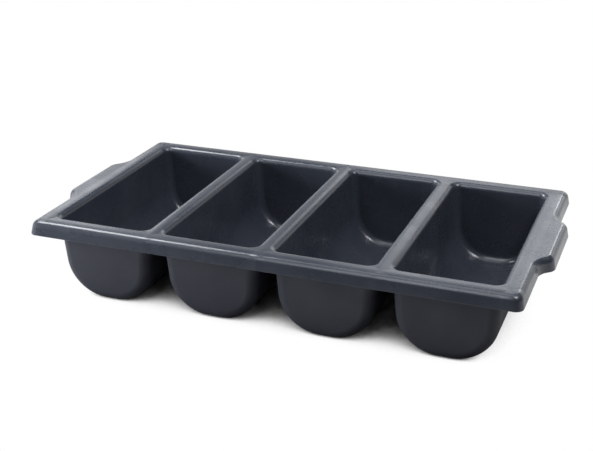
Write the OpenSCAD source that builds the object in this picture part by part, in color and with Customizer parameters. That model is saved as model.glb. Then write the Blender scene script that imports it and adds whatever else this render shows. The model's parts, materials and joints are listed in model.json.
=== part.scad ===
// Cutlery tray: four round-bottomed bins hang from one flat rim, with a handle at each end.
// The real tray is a single plastic moulding with nothing that moves. Each node here is one
// region of that moulding, and neighbouring regions meet face to face.
// Millimetres. +X runs along the row of bins, +Y to the back and +Z up.
// The origin is on the table, under the middle of the tray.

/* [Tray] */
// Height from the table to the flat top of the rim
tray_h = 89; // [75:1:130]
// Thickness of the moulded wall
wall = 2.5; // [1.5:0.1:3.2]

/* [Bins] */
// Width of a bin's mouth
mouth_w = 100.8; // [80:0.2:140]
// Length of a bin's mouth, front to back
mouth_l = 240.8; // [180:0.2:320]
// Lean of a bin's long walls
side_draft = 4.5; // [1:0.5:8]
// Lean of a bin's end walls
end_draft = 2.5; // [1:0.5:8]
// Width of the flat strip that a bin stands on
strip_w = 14; // [6:1:30]
// Inside rounding of a bin's ends, shared by the mouth's corners
edge_r = 9; // [5:0.5:14]

/* [Rim] */
// Width of the bridge between two mouths
divider_w = 19.2; // [16:0.2:40]
// Rounding of the mouth's top edge
lip_r = 6; // [3.5:0.1:7]
// Flat of the rim, from a mouth's edge to the rounded shoulder
rim_w = 16; // [13.5:0.5:30]
// Outer rounding where the rim turns down
shoulder_r = 6.5; // [3.5:0.1:8]
// Height of the skirt below the rim's top
skirt_h = 14; // [9:0.5:25]
// Lean of the skirt, outwards as it goes down
skirt_flare = 10; // [2:1:20]
// Corner rounding of the rim's flat top, seen from above
rim_corner_r = 3; // [1:0.5:8]

/* [Handles] */
// How far a handle stands out from the rim
handle_reach = 12.6; // [9:0.2:24]
// Straight length of a handle's outer edge
handle_l = 80; // [40:1:120]
// Turn of a handle's slanted ends away from the rim's line
handle_slant = 50; // [35:1:60]
// Outer corner rounding of a handle's flat top
handle_corner_r = 6; // [2:0.5:8]
// Inner corner rounding at a handle's root, on the skirt's lower edge
handle_root_r = 4; // [2:0.5:6]

/* [Hidden] */

tray_grey = [0.27, 0.28, 0.31];
bin_total = 4;
// Overlap that fuses two stretches of one region
bond = 0.5;
// Fineness of whole circles, and steps along the rounded stretches of the lofted shapes
$fn = 64;
flank_steps = 12;
edge_steps = 5;
shoulder_steps = 8;
handle_steps = 6;

bin_pitch = mouth_w + divider_w;
bin_x = [for (i = [0:bin_total - 1]) (i - (bin_total - 1) / 2) * bin_pitch];
divider_x = [for (i = [0:bin_total - 2]) (bin_x[i] + bin_x[i + 1]) / 2];

// Half sizes of the rim's flat top, and of the rectangle through its corner centres
flat_x = bin_x[bin_total - 1] + mouth_w / 2 + rim_w;
flat_y = mouth_l / 2 + rim_w;
core_x = flat_x - rim_corner_r;
core_y = flat_y - rim_corner_r;
// Half distance between the front and rear rims: the line through the mouths' corner centres
bar_y = mouth_l / 2 - edge_r;

// Reach of the skirt's lower edge beyond the rim's flat top
shoulder_drop = shoulder_r * (1 - sin(skirt_flare));
skirt_reach = shoulder_r * cos(skirt_flare) + (skirt_h - shoulder_drop) * tan(skirt_flare);

// Plan of the right handle's flat top: a straight edge, an outer arc, a slanted end, an inner arc
root_arc_r = handle_root_r + skirt_reach;
turn_x = (root_arc_r + handle_corner_r) * (1 - cos(handle_slant));
turn_y = (root_arc_r + handle_corner_r) * sin(handle_slant);
root_y = handle_l / 2 + turn_y + (handle_reach - turn_x) / tan(handle_slant);
// Line in the rim's flat where a handle begins
seat_x = flat_x - shoulder_r;

// Level where a bin's wall takes over from the rounded lip of its mouth
mouth_z = tray_h - lip_r;
// Inside radius of a bin's flank, tangent to the standing strip and to the leaning side wall
flank_r = (cos(side_draft) * (mouth_w - strip_w) / 2 - sin(side_draft) * (mouth_z - wall))
    / (1 - sin(side_draft));

// Rounded lip that turns from the flat top down into a bin, with the mouth's edge at x = 0
module lip_section() {
    translate([0, mouth_z])
        intersection() {
            translate([lip_r, 0])
                difference() {
                    circle(lip_r);
                    circle(lip_r - wall);
                }
            square(lip_r);
        }
}

// Strip of the flat top from one distance to another
module flat_section(from, to) {
    translate([from, tray_h - wall])
        square([to - from, wall]);
}

// Lip with a margin of the flat top, which overlaps the flat cut out round the mouths
module lip_and_margin() {
    lip_section();
    flat_section(lip_r, lip_r + 2 * bond);
}

// Points on an arc from one angle to another
function arc(centre, r, from, to, steps) =
    [for (i = [0:steps])
        let (a = from + (to - from) * i / steps)
        centre + r * [cos(a), sin(a)]];

// Point where the skirt's outer or inner face, a distance from the shoulder's centre, meets its foot
function skirt_foot(r) =
    let (top = [r * cos(skirt_flare), tray_h - shoulder_r + r * sin(skirt_flare)])
    top + (top[1] - tray_h + skirt_h) * [tan(skirt_flare), -1];

// Rounded shoulder and flared skirt, out and back, with the end of the flat top at x = 0
function skirt_outline() =
    let (centre = [0, tray_h - shoulder_r], inner_r = shoulder_r - wall)
    concat(
        arc(centre, shoulder_r, 90, skirt_flare, shoulder_steps),
        [skirt_foot(shoulder_r), skirt_foot(inner_r)],
        arc(centre, inner_r, skirt_flare, 90, shoulder_steps)
    );

// Flat top of a given width that ends in the shoulder and skirt, with the flat's start at x = 0
module edge_section(flat) {
    polygon(concat(
        [[0, tray_h - wall], [0, tray_h]],
        [for (p = skirt_outline()) p + [flat, 0]]
    ));
}

function flatten(lists) = [for (l = lists, item = l) item];

// Two triangles for a face with four corners
function quad(a, b, c, d) = [[a, b, c], [a, c, d]];

// Runs a section along Y, with the section's own x pointing to +X
module run_y(from, to) {
    translate([0, to, 0])
        rotate([90, 0, 0])
            linear_extrude(to - from)
                children();
}

// Runs a section along X, centred, with the section's own x pointing to -Y
module run_x(length) {
    translate([-length / 2, 0, 0])
        rotate([90, 0, 90])
            linear_extrude(length)
                mirror([1, 0])
                    children();
}

// Runs a section round an arc about Z, with the section's own x as the radius
module run_arc(centre, from, turn) {
    translate(centre)
        rotate([0, 0, from])
            rotate_extrude(angle = turn)
                children();
}

// Both halves of a shape that is alike on the left and the right
module both_sides() {
    children();
    mirror([1, 0, 0]) children();
}

// Flat top of the front rim, with the four mouths cut out past their lips
module front_flat() {
    mouth_core = mouth_w / 2 - edge_r;
    lip_edge = edge_r + lip_r + bond;
    difference() {
        translate([-core_x - bond, -core_y - bond])
            square([2 * (core_x + bond), core_y + bond - bar_y]);
        for (x = bin_x) {
            translate([x - mouth_core, -bar_y - lip_edge])
                square([2 * mouth_core, lip_edge]);
            for (side = [-1, 1])
                translate([x + side * mouth_core, -bar_y])
                    circle(lip_edge);
        }
    }
}

// Front or rear run of the rim: flat top, skirt with both corners, and the lips of the mouths' ends
module end_rim() {
    mouth_core = mouth_w / 2 - edge_r;
    color(tray_grey) {
        translate([0, 0, tray_h - wall])
            linear_extrude(wall)
                front_flat();
        translate([0, -core_y, 0])
            run_x(2 * core_x)
                edge_section(rim_corner_r);
        both_sides() {
            run_arc([core_x, -core_y, 0], -90, 90)
                edge_section(rim_corner_r);
            translate([core_x, 0, 0])
                run_y(-core_y, -bar_y)
                    edge_section(rim_corner_r);
        }
        for (x = bin_x) {
            translate([x, -mouth_l / 2, 0])
                run_x(2 * mouth_core)
                    lip_and_margin();
            translate([x, 0, 0])
                both_sides()
                    run_arc([mouth_core, -bar_y, 0], -90, 90)
                        translate([edge_r, 0])
                            lip_and_margin();
        }
    }
}

// Right run of the rim: the handle takes the place of its outer edge in the middle
module side_rim() {
    color(tray_grey) {
        translate([flat_x - rim_w, 0, 0])
            run_y(-bar_y, bar_y) {
                lip_section();
                flat_section(lip_r, rim_w - shoulder_r);
            }
        translate([seat_x - bond, 0, 0]) {
            run_y(-bar_y, -root_y) edge_section(shoulder_r + bond);
            run_y(root_y, bar_y) edge_section(shoulder_r + bond);
        }
    }
}

// Stations along the rear half of the right handle's edge: place on the plan and outward direction
function handle_half() = concat(
    [for (i = [0:handle_steps])
        let (a = handle_slant * i / handle_steps)
        [[flat_x + handle_reach - handle_corner_r * (1 - cos(a)), handle_l / 2 + handle_corner_r * sin(a)], a]],
    [for (i = [handle_steps:-1:0])
        let (a = handle_slant * i / handle_steps)
        [[flat_x + root_arc_r * (1 - cos(a)), root_y - root_arc_r * sin(a)], a]]
);

// Stations along the whole edge, front to back
function handle_stations() =
    let (half = handle_half())
    concat(
        [for (i = [len(half) - 1:-1:0]) [[half[i][0][0], -half[i][0][1]], -half[i][1]]],
        half
    );

// Closed ring at one station: the flat from the seat line, then the shoulder and skirt
function handle_ring(place, turn) = concat(
    [[seat_x, place[1], tray_h - wall], [seat_x, place[1], tray_h]],
    [for (p = skirt_outline()) [place[0] + p[0] * cos(turn), place[1] + p[0] * sin(turn), p[1]]]
);

// Right handle: the rim's flat and skirt led out round a slanted tab, open below for the fingers
module handle() {
    rings = [for (s = handle_stations()) handle_ring(s[0], s[1])];
    width = len(rings[0]);
    last = len(rings) - 1;
    sides = [for (r = [0:last - 1], i = [0:width - 1])
        let (j = (i + 1) % width)
        quad(r * width + i, r * width + j, (r + 1) * width + j, (r + 1) * width + i)];
    ends = [
        [for (i = [width - 1:-1:0]) i],
        [for (i = [0:width - 1]) last * width + i]
    ];
    color(tray_grey)
        polyhedron(points = flatten(rings), faces = concat(flatten(sides), ends), convexity = 4);
}

// Bridge between two mouths: a flat top with a rounded lip on each side, hollow below
module divider(x) {
    color(tray_grey)
        translate([x, 0, 0])
            run_y(-bar_y, bar_y) {
                flat_section(-divider_w / 2 + lip_r, divider_w / 2 - lip_r);
                for (side = [0, 1])
                    mirror([side, 0])
                        translate([-divider_w / 2, 0])
                            lip_section();
            }
}

// Right half of a bin's section, from the standing strip up to the mouth.
// The skin is the distance outwards from the inside face.
function half_section(skin) = concat(
    [for (i = [0:flank_steps])
        let (a = -90 + i * (90 - side_draft) / flank_steps)
        [strip_w / 2, wall + flank_r] + (flank_r + skin) * [cos(a), sin(a)]],
    [[mouth_w / 2 + skin / cos(side_draft), mouth_z]]
);

// Whole section, from the left top edge round the bottom to the right top edge
function section(skin) =
    let (half = half_section(skin))
    concat([for (i = [len(half) - 1:-1:0]) [-half[i][0], half[i][1]]], half);

// A section set at one end of the bin, leaning with the end wall
function end_ring(skin, reach, side) =
    [for (p = section(skin)) [p[0], side * (reach - (mouth_z - p[1]) * tan(end_draft)), p[1]]];

// Rings of one face of the bin, front to back: the section draws in round both ends
function face_rings(skin) =
    let (r = edge_r + skin)
    [for (side = [-1, 1], i = [0:edge_steps])
        let (a = 90 * (side < 0 ? i : edge_steps - i) / edge_steps)
        end_ring(skin - r * (1 - sin(a)), mouth_l / 2 + skin - r * (1 - cos(a)), side)];

// One bin: an outer and an inner loft joined along the top of the wall
module bin(x) {
    rings = concat(face_rings(wall), face_rings(0));
    width = len(rings[0]);
    count = len(rings) / 2;
    last = width - 1;
    // Number of a point: face 0 is the outside and face 1 the inside
    function at(face, ring, i) = (face * count + ring) * width + i;
    outside = [for (r = [0:count - 2], i = [0:last - 1])
        quad(at(0, r, i), at(0, r, i + 1), at(0, r + 1, i + 1), at(0, r + 1, i))];
    inside = [for (r = [0:count - 2], i = [0:last - 1])
        quad(at(1, r, i), at(1, r + 1, i), at(1, r + 1, i + 1), at(1, r, i + 1))];
    wall_top = [for (r = [0:count - 2])
        concat(
            quad(at(0, r, 0), at(0, r + 1, 0), at(1, r + 1, 0), at(1, r, 0)),
            quad(at(0, r, last), at(1, r, last), at(1, r + 1, last), at(0, r + 1, last))
        )];
    end_top = [
        quad(at(0, 0, 0), at(1, 0, 0), at(1, 0, last), at(0, 0, last)),
        quad(at(0, count - 1, 0), at(0, count - 1, last), at(1, count - 1, last), at(1, count - 1, 0))
    ];
    ends = [
        [for (i = [last:-1:0]) at(0, 0, i)],
        [for (i = [0:last]) at(0, count - 1, i)],
        [for (i = [0:last]) at(1, 0, i)],
        [for (i = [last:-1:0]) at(1, count - 1, i)]
    ];
    color(tray_grey)
        translate([x, 0, 0])
            polyhedron(
                points = flatten(rings),
                faces = concat(flatten(concat(outside, inside, wall_top, end_top)), ends),
                convexity = 4
            );
}

end_rim();  // front_rim
mirror([0, 1, 0]) end_rim();  // rear_rim
mirror([1, 0, 0]) side_rim();  // left_rim
side_rim();  // right_rim
mirror([1, 0, 0]) handle();  // left_handle
handle();  // right_handle
divider(divider_x[0]);  // left_divider
divider(divider_x[1]);  // middle_divider
divider(divider_x[2]);  // right_divider
bin(bin_x[0]);  // bin_1
bin(bin_x[1]);  // bin_2
bin(bin_x[2]);  // bin_3
bin(bin_x[3]);  // bin_4
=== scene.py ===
# Cutlery tray in dark grey plastic: four round-bottomed bins in one flat rim with two handles.
# The tray is a single moulding, so its skin is modelled in one go, the side that the mould's
# top half forms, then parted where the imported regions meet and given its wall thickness.
# Metres. +X runs along the row of bins, +Y to the back and +Z up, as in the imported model.

import json
import math

import bmesh
import bpy
from mathutils import Matrix, Vector

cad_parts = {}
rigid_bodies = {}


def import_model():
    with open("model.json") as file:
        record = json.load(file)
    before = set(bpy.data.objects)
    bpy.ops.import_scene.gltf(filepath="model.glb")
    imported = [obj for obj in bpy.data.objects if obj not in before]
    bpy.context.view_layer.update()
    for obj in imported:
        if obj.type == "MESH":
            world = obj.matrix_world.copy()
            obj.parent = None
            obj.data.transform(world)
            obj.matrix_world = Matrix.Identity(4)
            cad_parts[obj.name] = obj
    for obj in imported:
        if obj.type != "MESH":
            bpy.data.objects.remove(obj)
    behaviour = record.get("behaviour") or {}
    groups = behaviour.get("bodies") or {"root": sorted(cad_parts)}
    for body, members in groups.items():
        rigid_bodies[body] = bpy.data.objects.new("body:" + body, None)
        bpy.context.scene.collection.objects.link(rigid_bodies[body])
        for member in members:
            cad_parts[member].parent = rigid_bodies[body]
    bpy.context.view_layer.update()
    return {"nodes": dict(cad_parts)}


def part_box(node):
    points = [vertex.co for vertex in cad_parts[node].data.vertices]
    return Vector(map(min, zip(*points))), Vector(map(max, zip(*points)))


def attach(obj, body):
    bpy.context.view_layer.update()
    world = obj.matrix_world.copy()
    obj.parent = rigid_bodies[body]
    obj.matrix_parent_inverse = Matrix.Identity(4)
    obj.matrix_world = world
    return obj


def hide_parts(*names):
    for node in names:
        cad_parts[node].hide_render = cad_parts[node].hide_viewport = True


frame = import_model()

MM = 0.001
HAIR = 0.02 * MM
SIDES = (-1, 1)

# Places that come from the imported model
RIM_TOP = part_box("front_rim")[1].z
SKIRT_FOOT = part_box("front_rim")[0].z
BIN_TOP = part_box("bin_1")[1].z
BAR_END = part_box("middle_divider")[1].y
HANDLE_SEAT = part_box("right_handle")[0].x
HANDLE_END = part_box("right_handle")[1].y
BINS = ["bin_1", "bin_2", "bin_3", "bin_4"]
BIN_X = [(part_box(name)[0].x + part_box(name)[1].x) / 2 for name in BINS]
BIN_PITCH = BIN_X[1] - BIN_X[0]
ROW_END = BIN_X[-1] + BIN_PITCH / 2

# Sizes of the moulding
WALL = 2.5 * MM
SIDE_DRAFT = math.radians(4.5)
END_DRAFT = math.radians(2.5)
STRIP_HALF = 7 * MM
END_ROUNDING = 8.6 * MM
LIP_ROUNDING = 6 * MM
LIP_MARGIN = 6.3 * MM
SHOULDER_ROUNDING = 6.5 * MM
SKIRT_FLARE = math.radians(10)
FLAT_HALF_X = 246.4 * MM
FLAT_HALF_Y = 136.4 * MM
CORNER_ROUNDING = 3 * MM
HANDLE_REACH = 12.6 * MM
HANDLE_HALF = 40 * MM
HANDLE_SLANT = math.radians(50)
HANDLE_CORNER = 6 * MM
ROOT_EASE = 2 * MM
ROOT_ROUNDING = 10.5 * MM
ROOT_FOOT_SHARE = 0.8
ROOT_SPAN = 1.1 * ROOT_ROUNDING
FOOT_ROUNDING = 0.7 * MM

# Half the width and length of a mouth, at the height where the bins are parted from the rim
MOUTH_HALF_W = (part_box("bin_1")[1].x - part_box("bin_1")[0].x) / 2 - WALL / math.cos(SIDE_DRAFT)
MOUTH_HALF_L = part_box("bin_1")[1].y - WALL

# Sharp line of the rim's outer edge, before the shoulder is rounded
SHOULDER_TURN = math.pi / 2 - SKIRT_FLARE
EDGE_OUT = SHOULDER_ROUNDING * math.tan(SHOULDER_TURN / 2)
EDGE_X = FLAT_HALF_X + EDGE_OUT
EDGE_Y = FLAT_HALF_Y + EDGE_OUT
FLARE_OUT = (RIM_TOP - SKIRT_FOOT) * math.tan(SKIRT_FLARE)

# Sharp corners of a handle's outline on the same line
HALF_SLANT = math.tan(HANDLE_SLANT / 2)
TIP_X = EDGE_X + HANDLE_REACH
TIP_Y = HANDLE_HALF + (HANDLE_CORNER + EDGE_OUT) * HALF_SLANT
ROOT_Y = TIP_Y + HANDLE_REACH / math.tan(HANDLE_SLANT)

# Smoothness of the rounded stretches
FLANK_STEPS = 24
END_STEPS = 10
LIP_STEPS = 8
SHOULDER_STEPS = 10
PLAN_STEPS = 8
FOOT_STEPS = 3
CREASE = math.radians(40)

# How far a face's normal points along an axis, to tell flats, slopes and walls apart
DEAD_LEVEL = 0.99
END_WALL = 0.95
LEVEL = 0.9
SLOPING = 0.5
UPRIGHT = 0.3


# Selecting and shaping in edit mode

def take(piece):
    """Makes one piece the only selected and the active one."""
    bpy.ops.object.select_all(action="DESELECT")
    bpy.context.view_layer.objects.active = piece
    piece.select_set(True)


def edit(piece):
    """Opens one piece alone in edit mode."""
    take(piece)
    bpy.ops.object.mode_set(mode="EDIT")


def leave():
    """Goes back to object mode."""
    bpy.ops.object.mode_set(mode="OBJECT")


def opened():
    """Mesh of the piece that is open in edit mode."""
    return bmesh.from_edit_mesh(bpy.context.object.data)


def pick(kind, wanted):
    """Selects the verts, edges or faces that a test takes."""
    modes = {"verts": "VERT", "edges": "EDGE", "faces": "FACE"}
    bpy.ops.mesh.select_mode(type=modes[kind])
    bpy.ops.mesh.select_all(action="DESELECT")
    shape = opened()
    shape.normal_update()
    for item in [item for item in getattr(shape, kind) if wanted(item)]:
        item.select_set(True)
    shape.select_flush_mode()
    bmesh.update_edit_mesh(bpy.context.object.data)


def picked():
    """Indices of the selected verts."""
    shape = opened()
    shape.verts.index_update()
    return {v.index for v in shape.verts if v.select}


def near(a, b, gap=HAIR):
    """True for two numbers that are the same but for a small gap."""
    return abs(a - b) < gap


def both(edge, test):
    """True where a test takes both ends of an edge."""
    return all(test(v.co) for v in edge.verts)


def is_border(edge):
    """True for an edge on the open border of the skin."""
    return len(edge.link_faces) == 1


def is_top_line(edge):
    """True for a sharp line on the rim's top, between the flat and a wall or the skirt."""
    slopes = [f.normal.z for f in edge.link_faces]
    return (both(edge, lambda p: near(p.z, RIM_TOP)) and len(slopes) == 2
            and min(slopes) < SLOPING and max(slopes) > LEVEL)


def move(x=0.0, y=0.0, z=0.0):
    """Moves what is selected."""
    bpy.ops.transform.translate(value=(x, y, z))


def stretch(x=1.0, y=1.0, z=1.0, about=(0.0, 0.0, 0.0)):
    """Scales what is selected about a point."""
    bpy.ops.transform.resize(value=(x, y, z), center_override=about)


def extrude(x=0.0, y=0.0, z=0.0):
    """Draws new faces out of what is selected."""
    bpy.ops.mesh.extrude_region_move(TRANSFORM_OT_translate={"value": (x, y, z)})


def round_off(offset, steps):
    """Rounds the selected edges."""
    bpy.ops.mesh.bevel(
        offset_type="OFFSET", offset=offset, segments=steps, profile=0.5,
        affect="EDGES", clamp_overlap=False, loop_slide=True,
    )


def cut(place, across):
    """Adds an edge line where a plane crosses the selected faces."""
    bpy.ops.mesh.bisect(plane_co=place, plane_no=across, threshold=1e-6)


def apply_all(piece):
    """Applies all modifiers of a piece."""
    take(piece)
    for modifier in list(piece.modifiers):
        bpy.ops.object.modifier_apply(modifier=modifier.name)


# The skin of the moulding

def mould_bin():
    """Inside of one bin, from its standing strip to its mouth, with the rim's flat round it."""
    rise = RIM_TOP - BIN_TOP
    depth = BIN_TOP - WALL
    top_w = MOUTH_HALF_W + rise * math.tan(SIDE_DRAFT)
    top_l = MOUTH_HALF_L + rise * math.tan(END_DRAFT)
    floor_w = MOUTH_HALF_W - depth * math.tan(SIDE_DRAFT)
    floor_l = MOUTH_HALF_L - depth * math.tan(END_DRAFT)

    # A box that reaches 1 m to each side, so that stretching it sets half its width and length
    bpy.ops.object.select_all(action="DESELECT")
    bpy.ops.mesh.primitive_cube_add(size=2, location=(0, 0, 0))
    skin = bpy.context.object
    skin.name = "tray_skin"
    edit(skin)
    bpy.ops.mesh.select_all(action="SELECT")
    stretch(top_w, top_l, (RIM_TOP - WALL) / 2)
    move(z=(RIM_TOP + WALL) / 2)
    pick("verts", lambda v: v.co.z < RIM_TOP / 2)
    stretch(floor_w / top_w, floor_l / top_l)
    pick("faces", lambda f: f.normal.z > LEVEL)
    bpy.ops.mesh.delete(type="FACE")

    # The long bottom edges become the flanks, then the ends are rolled into them
    pick("edges", lambda e: both(e, lambda p: near(p.z, WALL))
         and near(e.verts[0].co.x, e.verts[1].co.x))
    round_off(floor_w - STRIP_HALF, FLANK_STEPS)
    pick("edges", lambda e: not is_border(e)
         and any(abs(f.normal.y) > END_WALL for f in e.link_faces))
    round_off(END_ROUNDING, END_STEPS)
    bpy.ops.mesh.select_all(action="SELECT")
    bpy.ops.mesh.flip_normals()

    # A margin led evenly out from the mouth, for the rounded lip
    pick("edges", is_border)
    extrude()
    ring = picked()
    arc_x, arc_y = top_w - END_ROUNDING, top_l - END_ROUNDING
    grow = (END_ROUNDING + LIP_MARGIN) / END_ROUNDING
    for side in SIDES:
        for end in SIDES:
            pick("verts", lambda v: v.index in ring and v.co.x * side > 0 and v.co.y * end > 0)
            stretch(grow, grow, 1, about=(side * arc_x, end * arc_y, RIM_TOP))

    # The flat of the rim, out to the middle of the bridges and to the rim's front and back edges
    pick("edges", is_border)
    extrude()
    ring = picked()

    def turn(v):
        return math.atan2(abs(v.co.y) - arc_y, abs(v.co.x) - arc_x)

    diagonal, slack = math.radians(45), 0.01
    outer = [v for v in opened().verts if v.index in ring]
    sideways = [v.index for v in outer if turn(v) < diagonal + slack]
    endways = [v.index for v in outer if turn(v) > diagonal - slack]
    for side in SIDES:
        pick("verts", lambda v: v.index in sideways and v.co.x * side > 0)
        stretch(0, 1, 1, about=(side * BIN_PITCH / 2, 0, 0))
    for end in SIDES:
        pick("verts", lambda v: v.index in endways and v.co.y * end > 0)
        stretch(1, 0, 1, about=(0, end * EDGE_Y, 0))

    # The lip
    pick("edges", is_top_line)
    round_off(LIP_ROUNDING * math.tan((math.pi / 2 - SIDE_DRAFT) / 2), LIP_STEPS)
    leave()
    return skin


def draw_end(side):
    """The rim's end on one side, and a handle drawn out of its long edge."""
    def on_edge(p):
        return near(p.x, side * EDGE_X)

    def between_roots(p):
        return on_edge(p) and abs(p.y) < ROOT_Y + HAIR

    pick("edges", lambda e: is_border(e) and both(e, lambda p: near(p.x, side * ROW_END)))
    extrude(x=side * (EDGE_X - ROW_END))
    pick("edges", lambda e: is_border(e) and both(e, on_edge) and e.calc_length() > BAR_END)
    bpy.ops.mesh.subdivide(number_cuts=2)
    pick("verts", lambda v: on_edge(v.co) and abs(v.co.y) < BAR_END / 2)
    third = max(v.co.y for v in opened().verts if v.select)
    stretch(1, ROOT_Y / third, 1)
    pick("edges", lambda e: is_border(e) and both(e, between_roots))
    extrude(x=side * HANDLE_REACH)
    stretch(1, TIP_Y / ROOT_Y, 1)
    pick("edges", lambda e: both(e, between_roots))
    bpy.ops.mesh.dissolve_edges(use_verts=False)


def round_plan():
    """Rounds the rim's and the handles' corners as seen from above."""
    def upright(e, x, y):
        high, low = sorted((v.co for v in e.verts), key=lambda p: -p.z)
        return (near(high.z, RIM_TOP) and near(low.z, SKIRT_FOOT)
                and near(abs(high.x), x) and near(abs(high.y), y))

    pick("edges", lambda e: upright(e, EDGE_X, EDGE_Y))
    round_off(CORNER_ROUNDING + EDGE_OUT, PLAN_STEPS)
    pick("edges", lambda e: upright(e, TIP_X, TIP_Y))
    round_off((HANDLE_CORNER + EDGE_OUT) * HALF_SLANT, PLAN_STEPS)
    pick("edges", lambda e: upright(e, EDGE_X, ROOT_Y + ROOT_EASE))
    round_off(ROOT_ROUNDING, PLAN_STEPS)

    # At the skirt's foot the roots are a little tighter
    foot_x, foot_y = EDGE_X + FLARE_OUT, ROOT_Y + FLARE_OUT * HALF_SLANT
    for side in SIDES:
        for end in SIDES:
            corner = Vector((side * foot_x, end * foot_y, SKIRT_FOOT))
            pick("verts", lambda v: (v.co - corner).length < ROOT_SPAN)
            stretch(ROOT_FOOT_SHARE, ROOT_FOOT_SHARE, 1, about=corner)


def mould_skin():
    """The whole skin: a row of four bins, the rim round them, the handles and the skirt."""
    skin = mould_bin()
    edit(skin)
    bpy.ops.mesh.select_all(action="SELECT")
    move(x=BIN_X[0])
    leave()
    row = skin.modifiers.new("row", "ARRAY")
    row.count = len(BINS)
    row.use_relative_offset = False
    row.use_constant_offset = True
    row.constant_offset_displace = (BIN_PITCH, 0, 0)
    row.use_merge_vertices = True
    row.merge_threshold = HAIR
    apply_all(skin)

    edit(skin)
    for side in SIDES:
        draw_end(side)

    # The skirt, leaning out as it goes down
    pick("edges", is_border)
    extrude(z=SKIRT_FOOT - RIM_TOP)
    foot = picked()
    for side in SIDES:
        pick("verts", lambda v: v.index in foot and v.co.x * side > EDGE_X - HAIR)
        move(x=side * FLARE_OUT)
        pick("verts", lambda v: v.index in foot and v.co.y * side > EDGE_Y - HAIR)
        move(y=side * FLARE_OUT)
        pick("verts", lambda v: v.index in foot and abs(v.co.x) > EDGE_X - HAIR
             and TIP_Y - HAIR < v.co.y * side < ROOT_Y + HAIR)
        move(y=side * FLARE_OUT * HALF_SLANT)

    # A handle's root, led out more gently along the top than at the skirt's foot
    for side in SIDES:
        for end in SIDES:
            pick("verts", lambda v: near(v.co.z, RIM_TOP) and near(v.co.x, side * EDGE_X)
                 and near(v.co.y, end * ROOT_Y))
            move(y=end * ROOT_EASE)
    round_plan()

    # The shoulder, all the way round
    def beyond_lips(p):
        return abs(p.x) > ROW_END or abs(p.y) > MOUTH_HALF_L + LIP_MARGIN

    pick("edges", lambda e: is_top_line(e) and beyond_lips(e.verts[0].co))
    round_off(EDGE_OUT, SHOULDER_STEPS)
    leave()
    return skin


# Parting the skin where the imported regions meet

def heights(face):
    """Lowest and highest level of a face."""
    levels = [v.co.z for v in face.verts]
    return min(levels), max(levels)


def in_bins(face):
    """True for a face of the bins, their lips included."""
    half_row, half_length = BIN_X[-1] + MOUTH_HALF_W + LIP_MARGIN, MOUTH_HALF_L + LIP_MARGIN
    return all(abs(v.co.x) < half_row and abs(v.co.y) < half_length for v in face.verts)


def region(face):
    """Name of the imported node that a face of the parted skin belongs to."""
    centre = face.calc_center_median()
    if in_bins(face) and centre.z < BIN_TOP:
        return min(zip(BINS, BIN_X), key=lambda pair: abs(pair[1] - centre.x))[0]
    if abs(centre.x) > HANDLE_SEAT and abs(centre.y) < HANDLE_END:
        return "right_handle" if centre.x > 0 else "left_handle"
    if abs(centre.y) > BAR_END:
        return "rear_rim" if centre.y > 0 else "front_rim"
    if abs(centre.x) > BIN_X[-1]:
        return "right_rim" if centre.x > 0 else "left_rim"
    bridges = (("left_divider", -BIN_PITCH), ("middle_divider", 0), ("right_divider", BIN_PITCH))
    return min(bridges, key=lambda pair: abs(pair[1] - centre.x))[0]


def part_skin(skin):
    """Cuts the skin along the regions' borders and returns its pieces by node."""
    edit(skin)
    pick("faces", lambda f: in_bins(f) and heights(f)[0] < BIN_TOP < heights(f)[1])
    cut((0, 0, BIN_TOP), (0, 0, 1))
    for side in SIDES:
        pick("faces", lambda f: not in_bins(f) or heights(f)[0] > BIN_TOP - HAIR)
        cut((0, side * BAR_END, 0), (0, 1, 0))
        for end in SIDES:
            pick("faces", lambda f: max(v.co.x * side for v in f.verts) > HANDLE_SEAT)
            cut((0, end * HANDLE_END, 0), (0, 1, 0))
        pick("faces", lambda f: abs(f.calc_center_median().y) < HANDLE_END
             and max(v.co.x * side for v in f.verts) > HANDLE_SEAT)
        cut((side * HANDLE_SEAT, 0, 0), (1, 0, 0))
    pieces = {}
    for node in sorted(frame["nodes"]):
        pick("faces", lambda f: region(f) == node)
        before = set(bpy.data.objects)
        bpy.ops.mesh.separate(type="SELECTED")
        pieces[node] = (set(bpy.data.objects) - before).pop()
    leave()
    bpy.data.objects.remove(skin)
    return pieces


def on_skirt_foot(edge):
    """True for a long edge of the skirt's lower face, but not for its ends on a parting plane."""
    slopes = [f.normal.z for f in edge.link_faces]
    first = edge.verts[0].co
    parted = both(edge, lambda p: near(p.y, first.y) and near(abs(p.y), BAR_END, WALL))
    return (both(edge, lambda p: p.z < SKIRT_FOOT + WALL / 2) and not parted
            and any(slope < -LEVEL for slope in slopes)
            and all(slope < -LEVEL or abs(slope) < UPRIGHT for slope in slopes))


def give_wall(piece, node):
    """Gives a piece of the skin its wall, rounds the skirt's foot and settles its shading."""
    piece.name = node + "_moulding"
    piece.data.name = piece.name
    wall = piece.modifiers.new("wall", "SOLIDIFY")
    wall.thickness = WALL
    wall.offset = -1
    wall.use_even_offset = True
    wall.use_quality_normals = True
    wall.material_offset = 1
    apply_all(piece)
    if node.endswith("rim") or node.endswith("handle"):
        edit(piece)
        pick("edges", on_skirt_foot)
        round_off(FOOT_ROUNDING, FOOT_STEPS)
        leave()
    take(piece)
    bpy.ops.object.shade_smooth_by_angle(angle=CREASE)
    even = piece.modifiers.new("even", "WEIGHTED_NORMAL")
    even.keep_sharp = True
    even.weight = 100
    apply_all(piece)


# Plastic: satin inside the bins and on the rim, matt on the bins' outside and underneath

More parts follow.
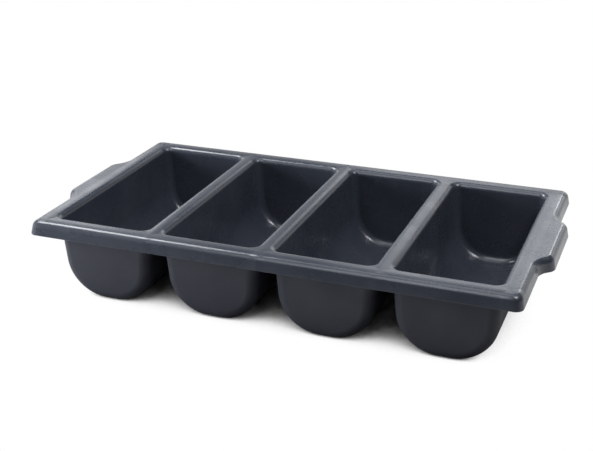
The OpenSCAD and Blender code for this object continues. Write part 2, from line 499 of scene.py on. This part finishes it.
UPPER_PIGMENT = (0.036, 0.041, 0.056, 1), (0.049, 0.055, 0.071, 1)
UPPER_ROUGHNESS = 0.26
UPPER_GLOSS = 0.5
UNDER_PIGMENT = (0.038, 0.0395, 0.052, 1), (0.0515, 0.053, 0.066, 1)
UNDER_ROUGHNESS = 0.5
UNDER_GLOSS = 0.3

# Most of a noise lies between these two values
NOISE_LOW = 0.3
NOISE_HIGH = 0.7

FLOW_SIZE = 60 * MM
FLOW_SHARE = 0.85
SPECK_SIZE = 1.2 * MM
SPECK_SHARE = 0.15
SATIN_SIZE = 35 * MM
SATIN_SMOOTHER = 0.03
SATIN_ROUGHER = 0.05
STREAK_SIZE = 4 * MM
STREAK_DRAW = (1, 0.04, 1)
STREAK_LOW = 0.5
STREAK_HIGH = 0.75
STREAK_ROUGHER = 0.05
STREAK_FADE = 20 * MM
STREAK_ON_RIM = 0.2
LONG_RUN_GLOSS = 0.37
LONG_RUN_FROM = 119 * MM
LONG_RUN_FULL = 126 * MM
LONG_RUN_Y = 131.4 * MM
CROWN_HEIGHT = 0.35 * MM
CROWN_HALF = 9 * MM
CROWN_BLEND = 0.2
WAVE_SIZE = 30 * MM
WAVE_HEIGHT = 0.03 * MM
GRAIN_SIZE = 1.2 * MM
GRAIN_HEIGHT = 0.002 * MM


class Recipe:
    """A node tree, with short ways to add to it."""

    def __init__(self, owner):
        owner.use_nodes = True
        self.nodes, self.links = owner.node_tree.nodes, owner.node_tree.links

    def add(self, kind, **settings):
        """Adds a node with its settings."""
        node = self.nodes.new(kind)
        for name, value in settings.items():
            setattr(node, name, value)
        return node

    def feed(self, value, socket):
        """Links a node's output to a socket, or sets the socket to a plain value."""
        if isinstance(value, bpy.types.NodeSocket):
            self.links.new(value, socket)
        else:
            socket.default_value = value

    def math(self, kind, *values):
        """Result of one step of arithmetic."""
        node = self.add("ShaderNodeMath", operation=kind)
        for value, socket in zip(values, node.inputs):
            self.feed(value, socket)
        return node.outputs[0]

    def axes(self, vector):
        """The three parts of a vector."""
        node = self.add("ShaderNodeSeparateXYZ")
        self.feed(vector, node.inputs["Vector"])
        return node.outputs["X"], node.outputs["Y"], node.outputs["Z"]

    def ease(self, value, low, high, to_low=0.0, to_high=1.0):
        """Eased step from one value to another while the input goes from low to high."""
        node = self.add("ShaderNodeMapRange", interpolation_type="SMOOTHSTEP")
        self.feed(value, node.inputs["Value"])
        self.feed(low, node.inputs["From Min"])
        self.feed(high, node.inputs["From Max"])
        self.feed(to_low, node.inputs["To Min"])
        self.feed(to_high, node.inputs["To Max"])
        return node.outputs["Result"]

    def cloud(self, place, size, detail=2.0, draw=(1, 1, 1)):
        """Noise in lumps of about one size, drawn out along an axis by a share below one."""
        spread = self.add("ShaderNodeMapping")
        self.feed(place, spread.inputs["Vector"])
        self.feed(tuple(share / size for share in draw), spread.inputs["Scale"])
        noise = self.add("ShaderNodeTexNoise")
        self.feed(spread.outputs["Vector"], noise.inputs["Vector"])
        self.feed(1.0, noise.inputs["Scale"])
        self.feed(detail, noise.inputs["Detail"])
        return noise.outputs["Fac"]

    def relief(self, height, depth, under=None):
        """Normal of a face with a height laid over it, on top of another relief."""
        node = self.add("ShaderNodeBump")
        self.feed(depth, node.inputs["Distance"])
        self.feed(height, node.inputs["Height"])
        if under:
            self.feed(under, node.inputs["Normal"])
        return node.outputs["Normal"]


def moulded_plastic(name, pigments, roughness, gloss, run_gloss=None):
    """Dark grey polypropylene: a little cloudy, grained, rubbed in the bins and soft on top."""
    material = bpy.data.materials.new(name)
    look = Recipe(material)
    shader = look.nodes["Principled BSDF"]
    place = look.add("ShaderNodeTexCoord").outputs["Object"]
    along_row, to_back, level = look.axes(place)
    across = look.math("PINGPONG", along_row, BIN_PITCH / 2)
    outward = look.math("ABSOLUTE", to_back)

    # Pigment that flowed a little unevenly, and a fine speck in it
    pigment = look.add("ShaderNodeMix", data_type="RGBA")
    look.feed(pigments[0], pigment.inputs["A"])
    look.feed(pigments[1], pigment.inputs["B"])
    flow = look.ease(look.cloud(place, FLOW_SIZE, 3.0), NOISE_LOW, NOISE_HIGH, 0.0, FLOW_SHARE)
    speck = look.ease(look.cloud(place, SPECK_SIZE, 1.0), NOISE_LOW, NOISE_HIGH, 0.0, SPECK_SHARE)
    look.feed(look.math("ADD", flow, speck), pigment.inputs["Factor"])
    look.feed(pigment.outputs["Result"], shader.inputs["Base Color"])

    # Satin, duller in streaks where cutlery has slid along the bins
    satin = look.ease(look.cloud(place, SATIN_SIZE), NOISE_LOW, NOISE_HIGH,
                      roughness - SATIN_SMOOTHER, roughness + SATIN_ROUGHER)
    slid = look.cloud(place, STREAK_SIZE, draw=STREAK_DRAW)
    streak = look.ease(slid, STREAK_LOW, STREAK_HIGH, 0.0, STREAK_ROUGHER)
    inside = look.ease(level, BIN_TOP - STREAK_FADE, BIN_TOP, 1.0, STREAK_ON_RIM)
    rubbed = look.math("MULTIPLY", streak, inside)
    look.feed(look.math("ADD", satin, rubbed), shader.inputs["Roughness"])

    # On top, the flats of the long runs are duller than the bridges and the ends
    if run_gloss is not None:
        upward = look.axes(look.add("ShaderNodeNewGeometry").outputs["Normal"])[2]
        on_flat = look.ease(upward, LEVEL, DEAD_LEVEL)
        on_run = look.ease(outward, LONG_RUN_FROM, LONG_RUN_FULL)
        gloss = look.ease(look.math("MULTIPLY", on_flat, on_run), 0.0, 1.0, gloss, run_gloss)
    look.feed(gloss, shader.inputs["Specular IOR Level"])

    # The tops are softly crowned; over that lie slight waves from cooling and the mould's grain
    bridge = look.ease(across, 0.0, CROWN_HALF, 1.0, 0.0)
    run_gap = look.math("ABSOLUTE", look.math("SUBTRACT", outward, LONG_RUN_Y))
    run = look.ease(run_gap, 0.0, CROWN_HALF, 1.0, 0.0)
    crown = look.relief(look.math("SMOOTH_MAX", bridge, run, CROWN_BLEND), CROWN_HEIGHT)
    wave = look.relief(look.cloud(place, WAVE_SIZE, 1.0), WAVE_HEIGHT, under=crown)
    grain = look.relief(look.cloud(place, GRAIN_SIZE, 1.0), GRAIN_HEIGHT, under=wave)
    look.feed(grain, shader.inputs["Normal"])
    return material


# Studio

STUDIO_WHITE = (0.94, 0.97, 1.0)
ROOM = 0.03
# The backdrop's middle, and where it starts and is full white to the side and upwards
WHITE_SIDE = (-0.5, 0.87, 0)
WHITE_FROM, WHITE_FULL = -0.45, 0.6
WHITE_TOP, WHITE_END = 0.1, 0.55
FLOOR_SIZE = 30
FLOOR_FRONT = 0.45
FLOOR_GREY = (0.3, 0.3, 0.3, 1)
FLOOR_ROUGHNESS = 0.9
# Shares of open sky over the floor at which its white glow starts and is full; the glow fades by
# ambient occlusion, which paints shade close under the tray
PAINTED_SHADE_REACH = 140 * MM
SEEN_FROM, SEEN_FULL = 0.08, 0.35
MIRRORED_FROM, MIRRORED_FULL = 0.5, 1.0


def hang(lamp, place, target=(0, 0, 0)):
    """Hangs a lamp in its place, pointing at its target."""
    lamp.color = STUDIO_WHITE
    holder = bpy.data.objects.new(lamp.name, lamp)
    bpy.context.scene.collection.objects.link(holder)
    holder.location = place
    holder.rotation_mode = "QUATERNION"
    holder.rotation_quaternion = (Vector(target) - Vector(place)).to_track_quat("-Z", "Y")
    return holder


def softbox(name, place, size, power, glare=True, wash=True):
    """Rectangular lamp; without glare it isn't mirrored in the plastic, without wash it only is."""
    lamp = bpy.data.lights.new(name, "AREA")
    lamp.shape = "RECTANGLE"
    lamp.size, lamp.size_y = size
    lamp.energy = power
    holder = hang(lamp, place)
    holder.visible_glossy, holder.visible_diffuse = glare, wash


def soft_spot(name, place, target, radius, cone, power):
    """Round lamp that lights only what lies near its target; the cone is in degrees."""
    lamp = bpy.data.lights.new(name, "SPOT")
    lamp.shadow_soft_size = radius
    lamp.spot_size = math.radians(cone)
    lamp.spot_blend = 1
    lamp.energy = power
    hang(lamp, place, target)


def studio_light():
    """Lamps round the tray, with their powers in watts."""
    softbox("left_light", place=(-1.0, 0.35, 1.4), size=(0.7, 0.7), power=26)
    softbox("front_light", place=(-0.3, -0.95, 1.4), size=(1.0, 1.0), power=4.4)
    softbox("right_light", place=(0.8, -0.2, 1.4), size=(0.4, 0.4), power=12)
    softbox("top_light", place=(0.3, 0.5, 1.5), size=(1.2, 1.0), power=3)
    softbox("back_light", place=(-0.1, 1.9, 0.95), size=(0.9, 0.6), power=3.2)
    softbox("back_left_light", place=(-1.6, 1.6, 0.8), size=(0.8, 0.5), power=2.4)
    softbox("left_fill", place=(-0.75, -0.44, 0.2), size=(0.5, 0.3), power=7, glare=False)

    # Cards for the light lines along the rear lips, the front shoulder and the bins' far ends
    softbox("front_card", place=(-0.2, -0.95, 1.4), size=(0.5, 1.1), power=5.6, wash=False)
    softbox("over_card", place=(-0.1, 0.3, 1.4), size=(0.5, 1.1), power=3.6, wash=False)

    # The right-hand end is lighter than the rest
    soft_spot("back_spot", place=(0.33, 1.0, 0.52), target=(0.307, -0.327, RIM_TOP),
              radius=0.14, cone=17, power=7.6)
    soft_spot("back_right_spot", place=(0.58, 1.0, 0.37), target=(0.308, -0.132, RIM_TOP),
              radius=0.26, cone=18, power=5)


def white_world():
    """White backdrop behind the tray and on its left, in a dark room."""
    world = bpy.data.worlds.new("white_studio")
    bpy.context.scene.world = world
    look = Recipe(world)
    way = look.add("ShaderNodeTexCoord").outputs["Generated"]
    side = look.add("ShaderNodeVectorMath", operation="DOT_PRODUCT")
    look.feed(way, side.inputs[0])
    look.feed(WHITE_SIDE, side.inputs[1])
    low_down = look.ease(look.axes(way)[2], WHITE_TOP, WHITE_END, 1.0, 0.0)
    white_way = look.ease(side.outputs["Value"], WHITE_FROM, WHITE_FULL)
    backdrop = look.math("MULTIPLY", white_way, low_down)
    seen = look.add("ShaderNodeLightPath").outputs["Is Camera Ray"]
    shown = look.math("MAXIMUM", seen, look.math("MAXIMUM", backdrop, ROOM))
    sky = look.nodes["Background"]
    look.feed((1, 1, 1, 1), sky.inputs["Color"])
    look.feed(shown, sky.inputs["Strength"])


def pale_floor():
    """White floor that runs into the backdrop; close under the tray its glow fades by ambient
    occlusion, a painted shade, and the lamps' real shadow shows.
    """
    bpy.ops.object.select_all(action="DESELECT")
    middle = FLOOR_SIZE / 2 - FLOOR_FRONT
    bpy.ops.mesh.primitive_plane_add(size=FLOOR_SIZE, location=(0, middle, 0))
    floor = bpy.context.object
    floor.name = "studio_floor"
    paint = bpy.data.materials.new("pale_floor")
    look = Recipe(paint)
    shader = look.nodes["Principled BSDF"]
    look.feed(FLOOR_GREY, shader.inputs["Base Color"])
    look.feed(FLOOR_ROUGHNESS, shader.inputs["Roughness"])
    look.feed(0.0, shader.inputs["Specular IOR Level"])

    # Open floor glows white to the camera and in the plastic; close under the tray the glow fades
    # by ambient occlusion, which is painted shade, and the grey floor there shows the lamps' real
    # shadow
    nearness = look.add("ShaderNodeAmbientOcclusion")
    look.feed(PAINTED_SHADE_REACH, nearness.inputs["Distance"])
    openness = nearness.outputs["AO"]
    path = look.add("ShaderNodeLightPath").outputs
    clear = look.ease(openness, SEEN_FROM, SEEN_FULL)
    seen = look.math("MULTIPLY", path["Is Camera Ray"], clear)
    mirror = look.math("MAXIMUM", path["Is Glossy Ray"], path["Is Transmission Ray"])
    wide_open = look.ease(openness, MIRRORED_FROM, MIRRORED_FULL)
    mirrored = look.math("MULTIPLY", mirror, wide_open)
    mix = look.add("ShaderNodeMixShader")
    look.feed(look.math("MAXIMUM", seen, mirrored), mix.inputs["Fac"])
    look.feed(shader.outputs[0], mix.inputs[1])
    look.feed(look.add("ShaderNodeEmission").outputs[0], mix.inputs[2])
    look.feed(mix.outputs[0], look.nodes["Material Output"].inputs["Surface"])
    floor.data.materials.append(paint)


# The photograph's camera, seen from the middle of the rim's top; angles in degrees
CAMERA_AZIMUTH = 21.19
CAMERA_ELEVATION = 22.56
CAMERA_ROLL = -0.29
CAMERA_DISTANCE = 1.15982
CAMERA_LEFT = 0.01247
CAMERA_LOWER = 0.02152
FOCAL_PIXELS = 1092.85
PHOTO_WIDTH = 593
SENSOR_WIDTH = 36
FARTHEST = 50


def photo_camera():
    """Camera at the photograph's place, found from the rim's corners and the bins' outlines."""
    azimuth, elevation, roll = (
        math.radians(angle) for angle in (CAMERA_AZIMUTH, CAMERA_ELEVATION, CAMERA_ROLL))
    back = Vector((math.sin(azimuth) * math.cos(elevation),
                   -math.cos(azimuth) * math.cos(elevation), math.sin(elevation)))
    right = Vector((math.cos(azimuth), math.sin(azimuth), 0))
    up = back.cross(right)
    turned_right = right * math.cos(roll) + up * math.sin(roll)
    turned_up = up * math.cos(roll) - right * math.sin(roll)
    lens = bpy.data.cameras.new("photo_camera")
    lens.sensor_width = SENSOR_WIDTH
    lens.lens = FOCAL_PIXELS / PHOTO_WIDTH * SENSOR_WIDTH
    lens.clip_end = FARTHEST
    camera = bpy.data.objects.new("photo_camera", lens)
    bpy.context.scene.collection.objects.link(camera)
    eye = (Vector((0, 0, RIM_TOP)) + back * CAMERA_DISTANCE
           - turned_right * CAMERA_LEFT - turned_up * CAMERA_LOWER)
    turn = Matrix((turned_right, turned_up, back)).transposed()
    camera.matrix_world = Matrix.Translation(eye) @ turn.to_4x4()
    bpy.context.scene.camera = camera


upper_face = moulded_plastic("satin_grey_plastic", UPPER_PIGMENT, UPPER_ROUGHNESS, UPPER_GLOSS,
                             run_gloss=LONG_RUN_GLOSS)
under_face = moulded_plastic("matt_grey_plastic", UNDER_PIGMENT, UNDER_ROUGHNESS, UNDER_GLOSS)
for node, piece in part_skin(mould_skin()).items():
    piece.data.materials.clear()
    piece.data.materials.append(upper_face)
    piece.data.materials.append(under_face)
    give_wall(piece, node)
    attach(piece, "root")
    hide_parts(node)

pale_floor()
white_world()
studio_light()
photo_camera()
bpy.context.scene.view_settings.view_transform = "Standard"
